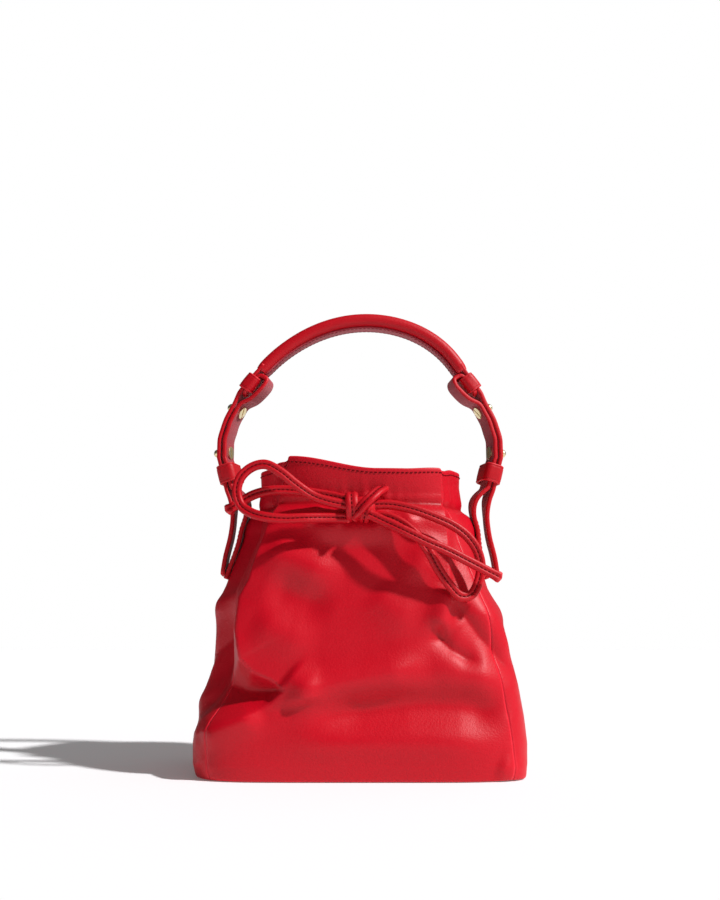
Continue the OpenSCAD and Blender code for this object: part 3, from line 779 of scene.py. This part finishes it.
# %% Panels and gussets
ROW_STEP = 1.45
COLUMNS = {"front": 140, "right": 78, "back": 100, "left": 78}
PANEL_NODES = {"front": "front_panel", "right": "right_gusset", "back": "back_panel", "left": "left_gusset"}
FOOT_ROLL, RIM_ROLL = [0, 0.6, 1.4], [RIM_Z - 1.4, RIM_Z - 0.7, RIM_Z - 0.25, RIM_Z]
heights = np.concatenate([FOOT_ROLL, np.arange(2.6, RIM_Z - 2, ROW_STEP), RIM_ROLL])
roll_in = np.interp(heights, FOOT_ROLL + [2.6] + RIM_ROLL, [0.8, 0.3, 0.08, 0, 0, 0.15, 0.5, 1.1])[:, None]
for panel, columns in COLUMNS.items():
    outer = wall(panel, heights, columns, roll_in)
    inner = wall(panel, heights, columns, np.full_like(roll_in, LEATHER_T))
    node = PANEL_NODES[panel]
    leather = make_piece(node.replace("_", "_leather_"), shell_solid(outer, inner), "bag", "bag_leather",
                         calf_leather)
    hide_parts(node)
    print(leather.name, len(leather.data.polygons), "faces")

# %% [markdown]
# ## Inside the mouth
# The rim is turned over a leather facing, 40 mm deep, which holds the lace in its channel. Below it hangs
# the cotton lining. Both follow the panels' folds from inside, and the hidden lace runs in the channel.

# %% Facing, lining, tab backings and the hidden lace
FACING_Z = RIM_Z - 40
CHANNEL_IN = LEATHER_T + 4.0
LINING_COLUMNS = {"front": 70, "right": 40, "back": 50, "left": 40}


def inner_ring(name, zs, near, far, slot, material, node):
    """A layer all round inside the panels, between two depths that go with the heights."""
    parts = []
    for panel, columns in LINING_COLUMNS.items():
        parts.append(shell_solid(*(wall(panel, zs, columns, depth[:, None]) for depth in (near, far))))
    ring = make_piece(name, joined(parts), "bag", slot, material)
    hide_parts(node)
    print(name, len(ring.data.polygons), "faces")


facing_zs = np.concatenate([np.linspace(FACING_Z, RIM_Z - 0.8, 26), [RIM_Z - 0.2]])
facing_near = np.interp(facing_zs, [FACING_Z, TAB_Z - 3, LACE_Z - 3, LACE_Z + 4, LACE_Z + 10, RIM_Z],
                        [LINING_OFF, 4.2, CHANNEL_IN, CHANNEL_IN, 1.7, 1.5])
inner_ring("mouth_leather_facing", facing_zs, facing_near, facing_near + 1.0, "bag_leather", calf_leather,
           "mouth_facing")
lining_zs = np.linspace(5.0, FACING_Z - 0.1, 60)
inner_ring("lining_cotton_walls", lining_zs, np.full(60, LINING_OFF), np.full(60, LINING_OFF + 0.7),
           "lining_cloth", lining_cloth, "lining_walls")
patch_zs = np.linspace(TAB_FOOT - 3, FACING_Z - 1, 24)
behind_tab = slice(14, 27)
for panel in ("left", "right"):
    layers = (wall(panel, patch_zs, 40, np.full((24, 1), depth))[:, behind_tab] for depth in (1.55, 2.35))
    patch = make_piece(f"tab_backing_board_{panel}", shell_solid(*layers), "bag", "stiff_board",
                       fibre_board)
    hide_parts(f"tab_backing_{panel}")

HIDDEN_R, HIDDEN_IN, SLOT_X, SLOT_Y = 1.7, 3.6, 11, -NECK_D - 1
rounds = {panel: wall(panel, [LACE_Z - 1, LACE_Z, LACE_Z + 1], columns, np.full((3, 1), HIDDEN_IN))[1]
          for panel, columns in LINING_COLUMNS.items()}
front_run = rounds["front"]
way_in = np.array([(5, SLOT_Y - 8, LACE_Z - 4), (8, SLOT_Y - 3, LACE_Z), (8.4, SLOT_Y + 2.2, LACE_Z)])
hidden = np.concatenate([way_in, front_run[front_run[:, 0] > SLOT_X],
                         *(rounds[panel][:-1] for panel in ("right", "back", "left")),
                         front_run[front_run[:, 0] < -SLOT_X], way_in[::-1] * (-1, 1, 1)])
hidden = smooth_path(hidden[np.r_[0:3, 3:len(hidden) - 3:3, len(hidden) - 3:len(hidden)]], 3.0)
ring_angles = np.linspace(0, 2 * math.pi, 12, endpoint=False)
round_section = HIDDEN_R * np.stack([np.cos(ring_angles), np.sin(ring_angles)], axis=1)
mouth_lace = make_piece("mouth_lace", sweep(hidden, round_section, (0.02, 0.03, 1.0)), "bag",
                        "lace_leather", lace_leather)
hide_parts("drawstring_run")

# %% [markdown]
# ## Stitched rim
# The turned rim is closed by a lock stitch 3.5 mm below its edge, one stitch every 3 mm. Real stitches
# stand proud of the leather and catch the light, so they are small capsules and not paint.

# %% Rim stitches
STITCH_DROP = 3.6
parts = []
for panel, columns in COLUMNS.items():
    grid = wall(panel, RIM_Z - STITCH_DROP + np.array([-0.8, 0, 0.8]), columns)
    parts.append(stitch_row(grid[1, 1:-1], normals_of(grid)[1, 1:-1], length=2.2, thick=0.85, lift=0.15))
rim_thread = make_piece("rim_stitches", joined(parts), "bag", "bag_leather", thread)
print("rim stitches:", len(rim_thread.data.polygons), "faces")

# %% [markdown]
# ## Handle
# The roll is leather wrapped round a cotton core, thickest in the middle, closed by a suede-faced strip
# along its underside with a row of stitches beside it. It leans a few millimetres to the right, as a soft
# handle does. All of it is swept along one arch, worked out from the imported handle's box.

# %% The arch and the roll
roll_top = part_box("handle_cover")[1].z / MM
ROLL_T, STRAP_W = 9.5, 16.0
ROLL_ANGLE, LEAN_LOW, LEAN_STUD = math.radians(34), math.radians(14.6), math.radians(28)
TAB_X = float(halves(TAB_Z)[0])
STUD_LOW = np.array((TAB_X + 20.5, TAB_Z + 47.1))
STUD_UP = STUD_LOW + (-8.5, 32.4)
down_roll = np.array((math.sin(ROLL_ANGLE), -math.cos(ROLL_ANGLE)))
in_roll = np.array((-math.cos(ROLL_ANGLE), -math.sin(ROLL_ANGLE)))
ROLL_END = STUD_UP - 32.5 * down_roll - 2.2 * in_roll
END_R = ROLL_END[0] / math.cos(ROLL_ANGLE)
HANDLE_R = END_R - 1.3
ARCH_Z = ROLL_END[1] - END_R * math.sin(ROLL_ANGLE)
print("handle top should be", round(roll_top, 2), "and is", round(ARCH_Z + HANDLE_R + ROLL_T / 2, 2))


def lean(z):
    """How far the soft handle leans to the right at height z."""
    return 4.8 * soften((np.asarray(z, float) - 262) / 52)


def arch(radius, first=34.0, last=146.0, step=1.2):
    a = np.radians(np.arange(first, last + 0.01, step))
    z = ARCH_Z + radius * np.sin(a)
    return in_side_plane(radius * np.cos(a) + lean(z), z), a


line, angles = arch(HANDLE_R)
face = in_side_plane(np.cos(angles), np.sin(angles))
swell = 1 + 0.10 * np.sin((angles - angles[0]) / (angles[-1] - angles[0]) * math.pi) ** 0.7
swell[:3], swell[-3:] = swell[:3] * (0.86, 0.94, 0.985), swell[-3:] * (0.985, 0.94, 0.86)
cover = rounded_bar(STRAP_W, ROLL_T, 4.4, per_corner=7)
cover = np.where((cover[:, 1:] < -ROLL_T / 2 + 0.6) & (np.abs(cover[:, :1]) < 6), cover + (0, 0.35), cover)
sections = cover[None] * np.stack([1 + 0 * swell, swell], axis=1)[:, None]
handle_roll = make_piece("handle_leather_roll", sweep(line, sections, face), "handle",
                         "strap_leather", strap_leather)
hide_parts("handle_cover", "handle_core")

STRIP_W, STRIP_T, STRIP_SEAM = 10.6, 1.1, 4.1
under = arch(HANDLE_R - ROLL_T / 2 - 0.15)[0] - face * (ROLL_T / 2 * (swell - 1))[:, None]
strip = make_piece("handle_suede_strip", sweep(under, rounded_bar(STRIP_W, STRIP_T, 0.45), face),
                   "handle", "underside_leather", flesh_side)
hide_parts("handle_underside")
rows = [stitch_row(under - face * 0.5 + (0, y, 0), -face, thick=0.5) for y in (-STRIP_SEAM, STRIP_SEAM)]
make_piece("handle_strip_stitches", joined(rows), "handle", "underside_leather", thread)
print("handle roll:", round(run_of(line)[-1]), "mm long")

# %% [markdown]
# ## Straps
# The handle's ends run down outside each tab and hang free below the lower keeper. Each tab is sewn to its
# gusset, rises inside the handle's end, curls over inwards and tucks back down through the upper keeper.
# The strap is two leathers glued back to back, 3 mm in all, with edges rounded over by layers of paint.
# Its inward face is the suede side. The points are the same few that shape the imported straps.

# %% Strap paths
STRAP_T = 3.0
LAYER_UP, LAYER_STUD, LAYER_LOW = STRAP_T + 0.3, STRAP_T + 1.0, STRAP_T + 1.2
CURL_S = STRAP_T / 2 + 0.1
KEEPER_S = CURL_S + 0.95 * STRAP_T
LOW_FOOT = np.array((TAB_X + 14.5, TAB_Z + 20.1))


def up(s, k):
    return ROLL_END + s * down_roll + k * in_roll


def low(s, k):
    return LOW_FOOT + (s * math.sin(LEAN_LOW) - k * math.cos(LEAN_LOW),
                       s * math.cos(LEAN_LOW) + k * math.sin(LEAN_LOW))


def at_stud(s, k):
    return STUD_UP + (s * math.sin(LEAN_STUD) - k * math.cos(LEAN_STUD),
                      -s * math.cos(LEAN_STUD) - k * math.sin(LEAN_STUD))


def off_gusset(drop, out):
    return np.array((float(halves(TAB_Z - drop)[0]) + out, TAB_Z - drop))


END_POINTS = [up(-5, 0.1), up(0, 0), up(7, 0), up(14, 0), up(21, 0), at_stud(-4.8, 0), at_stud(0, 0),
              at_stud(4.8, 0), at_stud(9.6, 0.2), STUD_LOW + (-1.7, 15.5), STUD_LOW + (0, 9.6),
              STUD_LOW + (0, 4.8), STUD_LOW, STUD_LOW - (0, 4.2), low(20.7, 0), low(14, 0), low(7, 0),
              low(0, 0), (TAB_X + 11.9, TAB_Z + 11.6), (TAB_X + 11.1, TAB_Z + 0.6), off_gusset(14.4, 10.1),
              off_gusset(27.4, 10.2), off_gusset(41.4, 8)]
RISER_X = TAB_X + 0.1 + STRAP_T / 2
TAB_POINTS = [
    (RISER_X + 0.1, TAB_Z + 12.1), (RISER_X + 3.2, TAB_Z + 16.1), low(0, LAYER_LOW), low(7, LAYER_LOW),
    low(14, LAYER_LOW), low(20.7, LAYER_LOW), STUD_LOW - (LAYER_LOW, 4.2), STUD_LOW - (LAYER_LOW, 0),
    STUD_LOW - (LAYER_LOW, -4.8), STUD_LOW - (LAYER_LOW, -9.6), STUD_LOW + (-LAYER_LOW - 1.7, 15),
    at_stud(9.6, LAYER_STUD + 0.2), at_stud(4.8, LAYER_STUD), at_stud(0, LAYER_STUD),
    at_stud(-4.8, LAYER_STUD), up(CURL_S + 18.4, LAYER_UP + 6.9), up(CURL_S + 10.7, LAYER_UP + 9),
    up(CURL_S + 4.4, LAYER_UP + 9.3), up(CURL_S + 0.3, LAYER_UP + 7.2), up(CURL_S, LAYER_UP + 3.6),
    up(CURL_S + 0.8, LAYER_UP + 0.9), up(KEEPER_S, LAYER_UP), up(KEEPER_S + 2.4, LAYER_UP),
    up(KEEPER_S + 7, LAYER_UP), up(KEEPER_S + 16.6, LAYER_UP)]


def strap(name, line, face, body, nodes, tip):
    """A strap along a line. Its side away from face takes the suede, and tip rounds its far end."""
    section = np.repeat(rounded_bar(STRAP_W, STRAP_T, 1.15)[None], len(line), axis=0)
    suede = section[0, :, 1] < -STRAP_T / 2 + 0.02
    left = run_of(line)[-1] - run_of(line)
    section[:, :, 0] *= rounded_off(left, tip, 0.06)
    section[:, :, 1] *= rounded_off(left, 1.2, 0.2)
    shape = turn_in(sweep(line, section, face), 1 if line[0, 0] > 0 else -1)
    obj = make_piece(name, shape, body, "strap_leather", strap_leather, flesh_side)
    for polygon in obj.data.polygons:
        if all(suede[v % len(suede)] for v in polygon.vertices) and len(polygon.vertices) == 4:
            polygon.material_index = 1
    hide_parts(*nodes)
    return obj


def turn_in(shape, way):
    """The straps' own twist: above the bag they turn their inward faces a little towards the front."""
    p = np.array(shape[0], float)
    z = p[:, 2]
    twist = way * TWIST * soften((z - 168) / 22) * (1 - soften((z - 262) / 20))
    middle = np.interp(z, middle_z, middle_x) * way
    x, y = p[:, 0] - middle, p[:, 1].copy()
    p[:, 0] = middle + x * np.cos(twist) - y * np.sin(twist)
    p[:, 1] = x * np.sin(twist) + y * np.cos(twist)
    return p, shape[1]


def relaxed(line, low_z, high_z, span):
    """A line with its corners eased between two heights over an odd number of points, as leather does."""
    kernel = np.hanning(span + 2)[1:-1]
    half = span // 2
    padded = np.concatenate([np.repeat(line[:1], half, 0), line, np.repeat(line[-1:], half, 0)])
    eased = np.stack([np.convolve(padded[:, k], kernel / kernel.sum(), "valid") for k in range(3)], axis=1)
    share = (soften((line[:, 2] - low_z + 8) / 8) * (1 - soften((line[:, 2] - high_z) / 8)))[:, None]
    return line * (1 - share) + eased * share

def in_plane(points, way):
    """Points in the side plane as points in space, on the side that way gives, with the handle's lean."""
    x, z = np.array([tuple(p) for p in points], float).T
    return in_side_plane(way * x + lean(z), z)


def outward(line, way):
    """The side direction of a strap line in the side plane: to the left of its heading or its right."""
    heading = unit(np.gradient(line, axis=0))
    return in_side_plane(-way * heading[:, 2], way * heading[:, 0])


TWIST = math.radians(15)
straight = smooth_path(in_plane(END_POINTS, 1), 1.2)
order = np.argsort(straight[:, 2])
middle_z, middle_x = straight[order, 2], straight[order, 0] - 2.0
tabs = {}
for way, side in ((-1, "left"), (1, "right")):
    end_line = relaxed(smooth_path(in_plane(END_POINTS, way), 1.2), 220, 256, 11)
    end_line = relaxed(end_line, 140, 176, 13)
    strap(f"handle_strap_{side}", end_line, outward(end_line, way), "handle", [f"handle_end_{side}"], tip=3.0)
    root = wall(side, np.linspace(TAB_FOOT, TAB_Z, 30), 40)[::4, 20]
    root = root + (way * (STRAP_T / 2 + 0.15), 0, 0)
    root[:, 1] = 0
    tab_line = smooth_path(np.concatenate([root, in_plane(TAB_POINTS, way)]), 1.1)
    tab_line = relaxed(relaxed(tab_line, 220, 250, 9), 150, 184, 17)
    tab = strap(f"side_tab_{side}", tab_line, -outward(tab_line, way), None,
                [f"tab_{side}", f"tab_root_{side}"], tip=5.0)
    tabs[way] = (tab, tab_line)
    print(side, "strap", round(run_of(end_line)[-1]), "mm, tab", round(run_of(tab_line)[-1]), "mm")

# %% [markdown]
# A tab is one leather from its stitches on the gusset to its tip, so it is one mesh: below the turning
# line it lies on the bag, above it runs up into the handle. It rides on no body, and its place is baked
# into its points.

# %% Tabs cross the hinge
BEND_FROM, BEND_TO, TAB_SEAM = TAB_Z + 1.6, TAB_Z + 19.6, 5.8
for tab, line in tabs.values():
    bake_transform(tab)
parts = []
for way, (tab, line) in tabs.items():
    foot = line[line[:, 2] < TAB_Z - 1]
    foot = foot[:np.argmax(foot[:, 2]) + 1] + (way * STRAP_T / 2, 0, 0)
    rows = [foot + (0, y, 0) for y in (-TAB_SEAM, TAB_SEAM)]
    rows += [foot[i] + np.linspace((0, -TAB_SEAM, 0), (0, TAB_SEAM, 0), 20) for i in (2, -2)]
    parts += [stitch_row(row, (way, 0, 0), thick=0.6) for row in rows]
make_piece("tab_stitches", joined(parts), "bag", "strap_leather", thread)
print("stitch rows on the tabs:", len(parts))

# %% [markdown]
# ## Keepers
# A keeper is a band of folded leather bent round the straps and joined on the inside. The band is wider
# than the straps by a sliding fit, and its own two edges are rounded by paint.

# %% Keepers
def band_section(length):
    """A band's section: rounded edges, a crease beside each turned edge and a slight crown between."""
    u = np.linspace(-1, 1, 33)
    crown = 0.78 + 0.22 * (1 - u**2) - 0.22 * np.exp(-((np.abs(u) - 0.74) / 0.05) ** 2)
    crown *= np.sqrt(np.clip(1 - ((np.abs(u) - 0.9).clip(0) / 0.1) ** 2, 0.02, 1))
    top = np.stack([u * length / 2, crown], axis=1)[::-1]
    inner = np.stack([u * length / 2, -0.75 * np.clip(crown / 0.75, 0, 1)], axis=1)
    return np.concatenate([top, inner[1:-1]])


BAND_OVER_W, BAND_OVER_T, BAND_CORNER = 2.4, 2.0, 3.5
KEEPERS = {  # lean, room across the straps, length along them and shift outwards
    "upper": (-ROLL_ANGLE, 7.9, 12.0, 0.0), "lower": (LEAN_LOW, 9.9, 13.5, 1.1)}


def keeper(level, side, way):
    """A band round the straps, in the place of a packed keeper."""
    tilt, inner_t, length, outwards = KEEPERS[level]
    name = f"{level}_keeper_{side}"
    lo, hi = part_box(name)
    centre = np.array((lo + hi) / 2) / MM
    centre[0] += way * outwards
    centre[0] += lean(centre[2])
    along = np.array((way * math.sin(tilt), 0, math.cos(tilt)))
    out = np.array((way * math.cos(tilt), 0, -math.sin(tilt)))
    ring = rounded_bar(STRAP_W + BAND_OVER_W, inner_t + BAND_OVER_T, BAND_CORNER, per_corner=6)
    ring = np.concatenate([np.linspace(a, b, 3, endpoint=False) for a, b in zip(ring, np.roll(ring, -1, 0))])
    path = centre + np.outer(ring[:, 0], (0, 1, 0)) + np.outer(ring[:, 1], out)
    face = unit(np.cross(np.roll(path, -1, 0) - np.roll(path, 1, 0), along))
    face *= np.sign((face * (path - centre)).sum(1, keepdims=True))
    shape = turn_in(sweep(path, band_section(length), face, loop=True), way)
    band = make_piece(f"{name}_band", shape, name, "strap_leather", strap_leather)
    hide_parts(name)
    print(band.name, "at", centre.round(1), "mm")


for way, side in ((-1, "left"), (1, "right")):
    for level in KEEPERS:
        keeper(level, side, way)

# %% [markdown]
# ## Studs
# A ball stud's head is turned from brass bar and its screw comes through both straps from the inside, with
# a wide flat head and a slot for a coin or screwdriver. Turned parts are a profile spun round an axis.

# %% Studs and screws
def square_to(axis):
    """The axis as a unit, and two directions square to it."""
    axis = unit(np.asarray(axis, float))
    u = unit(np.cross(axis, (0, 1, 0.001)))
    return axis, u, np.cross(axis, u)


def spun(profile, centre, axis, sides=28):
    """A profile of (radius, height) pairs, from one end on the axis to the other, spun round the axis."""
    axis, u, v = square_to(axis)
    points = [centre + axis * profile[0][1]]
    for radius, height in profile[1:-1]:
        for i in range(sides):
            a = 2 * math.pi * i / sides
            points.append(centre + axis * height + u * radius * math.cos(a) + v * radius * math.sin(a))
    points.append(centre + axis * profile[-1][1])
    return np.array(points), poled_faces(len(profile) - 2, sides)


def half_discs(radius, slot_w, low_h, high_h, centre, axis, turn):
    """The two halves of a slotted screw head above its disc."""
    axis, u, v = square_to(axis)
    u, v = u * math.cos(turn) + v * math.sin(turn), v * math.cos(turn) - u * math.sin(turn)
    start = math.asin(slot_w / 2 / radius)
    arc = np.linspace(start, math.pi - start, 20)
    parts = []
    for way in (-1, 1):
        rings = []
        for height, shrink in ((low_h, 1.0), (high_h - 0.12, 1.0), (high_h, 0.96)):
            rings += [centre + axis * height + u * radius * shrink * math.cos(t)
                      + v * way * max(radius * shrink * math.sin(t), slot_w / 2) for t in arc]
        faces = row_faces(3, 20, closed=True) + [tuple(range(20)), tuple(range(40, 60))]
        parts.append((np.array(rings), faces))
    return parts


BALL = [(0, -0.2), (2.7, -0.2), (2.7, 0.35), (2.0, 0.6), (2.0, 0.9), (2.75, 1.5), (3.0, 2.3), (2.85, 3.3),
        (2.3, 4.2), (1.4, 4.8), (0.7, 5.0), (0, 5.05)]
HEAD_R = 4.5
HEAD = [(0, -0.3), (4.3, -0.3), (HEAD_R, 0.0), (HEAD_R, 0.55), (0, 0.55)]
STUDS = {  # place in the side plane, middle of the handle's end to middle of the tab, lean, slot's turn
    "upper": (STUD_UP, LAYER_STUD, LEAN_STUD, 0.5), "lower": (STUD_LOW, LAYER_LOW, 0, 0.15)}
for way, side in ((-1, "left"), (1, "right")):
    for level, ((x, z), layer, tilt, turn) in STUDS.items():
        out = np.array((way * math.cos(tilt), 0, math.sin(tilt)))
        seat = np.array((way * x, 0, z))
        turned = turn_in(spun(BALL, seat + out * STRAP_T / 2, out), way)
        ball = make_piece(f"{level}_ball_stud_{side}", turned, "handle", "gold_metal", gold_plate)
        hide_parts(f"{level}_stud_{side}")
        inner = seat - out * (layer + STRAP_T / 2)
        head = joined([spun(HEAD, inner, -out), *half_discs(HEAD_R, 1.1, 0.5, 1.1, inner, -out, turn)])
        screw = make_piece(f"{level}_slotted_screw_{side}", turn_in(head, way), "handle", "gold_metal",
                           gold_plate, smooth=False)
        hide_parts(f"{level}_screw_{side}")
        print(ball.name, "and", screw.name)

# %% [markdown]
# ## Board and base
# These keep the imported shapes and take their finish: the base is the same calf leather over its board, and
# the lining's floor is the same cloth as its walls.

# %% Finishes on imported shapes
FINISHES = {"stiff_board": fibre_board, "lining_cloth": lining_cloth, "bag_leather": calf_leather}
for row in frame["record"]["subparts"]:
    node = frame["nodes"][row["node"]]
    if row["material_slot"] in FINISHES and not node.hide_render:
        for place in node.material_slots:
            place.material = FINISHES[row["material_slot"]]
        print("finish on", row["node"])

# %% [markdown]
# ## Light
# A nearly hard sun stands high to the right and a little in front, so the right gusset is the brightest
# wall, the front is in half light and the left gusset falls into shade. The surroundings are white to the
# eye but give only a dim fill, dimmer from the left, as a white cove does a few metres away.

# %% Floor, key and surroundings
FLOOR_HALF, FLOOR_Z = 4, -0.0004
floor_mesh = bpy.data.meshes.new("floor")
corners = [(x * FLOOR_HALF, y * FLOOR_HALF, 0) for x, y in ((-1, -1), (1, -1), (1, 1), (-1, 1))]
floor_mesh.from_pydata(corners, [], [(0, 1, 2, 3)])
floor = bpy.data.objects.new("floor", floor_mesh)
bpy.context.collection.objects.link(floor)
floor.location.z = FLOOR_Z
floor_mesh.materials.append(new_material("white_paper_floor", {
    "Base Color": (0.92, 0.915, 0.925, 1), "Emission Color": (1.0, 0.99, 1.0, 1), "Emission Strength": 0.10,
    "Roughness": 1.0, "Specular IOR Level": 0.0})[0])

KEY_SIDE, KEY_HEIGHT, KEY_ANGLE = math.radians(62), math.radians(42), math.radians(3)
key = bpy.data.objects.new("key", bpy.data.lights.new("key", "SUN"))
bpy.context.collection.objects.link(key)
key.data.energy = 3.9
key.data.angle = KEY_ANGLE
key.rotation_euler = (math.pi / 2 - KEY_HEIGHT, 0, KEY_SIDE)

world = bpy.data.worlds.new("white_cove")
bpy.context.scene.world = world
world.use_nodes = True
cove = world.node_tree
cove.nodes.clear()
seen = add(cove, "Background", {"Color": (1, 1, 1, 1), "Strength": 1.0})
toward_sky = add(cove, "TexCoord").outputs["Generated"]
sides = add(cove, "SeparateXYZ", {"Vector": toward_sky})
FILL_LEFT, FILL_RIGHT = 0.02, 0.30
fill = add(cove, "MapRange", {"Value": sides.outputs["X"], "From Min": -1.0, "From Max": 1.0,
                              "To Min": FILL_LEFT, "To Max": FILL_RIGHT})
lit = add(cove, "Background", {"Color": (1, 1, 1, 1), "Strength": fill.outputs[0]})
ray = add(cove, "LightPath")
mix = add(cove, "MixShader", {"Fac": ray.outputs["Is Camera Ray"], 1: lit.outputs[0], 2: seen.outputs[0]})
cove.links.new(mix.outputs[0], add(cove, "OutputWorld").inputs["Surface"])
bpy.context.scene.view_settings.view_transform = "Standard"
print("key:", key.data.energy, "fill:", FILL_LEFT, "to", FILL_RIGHT)
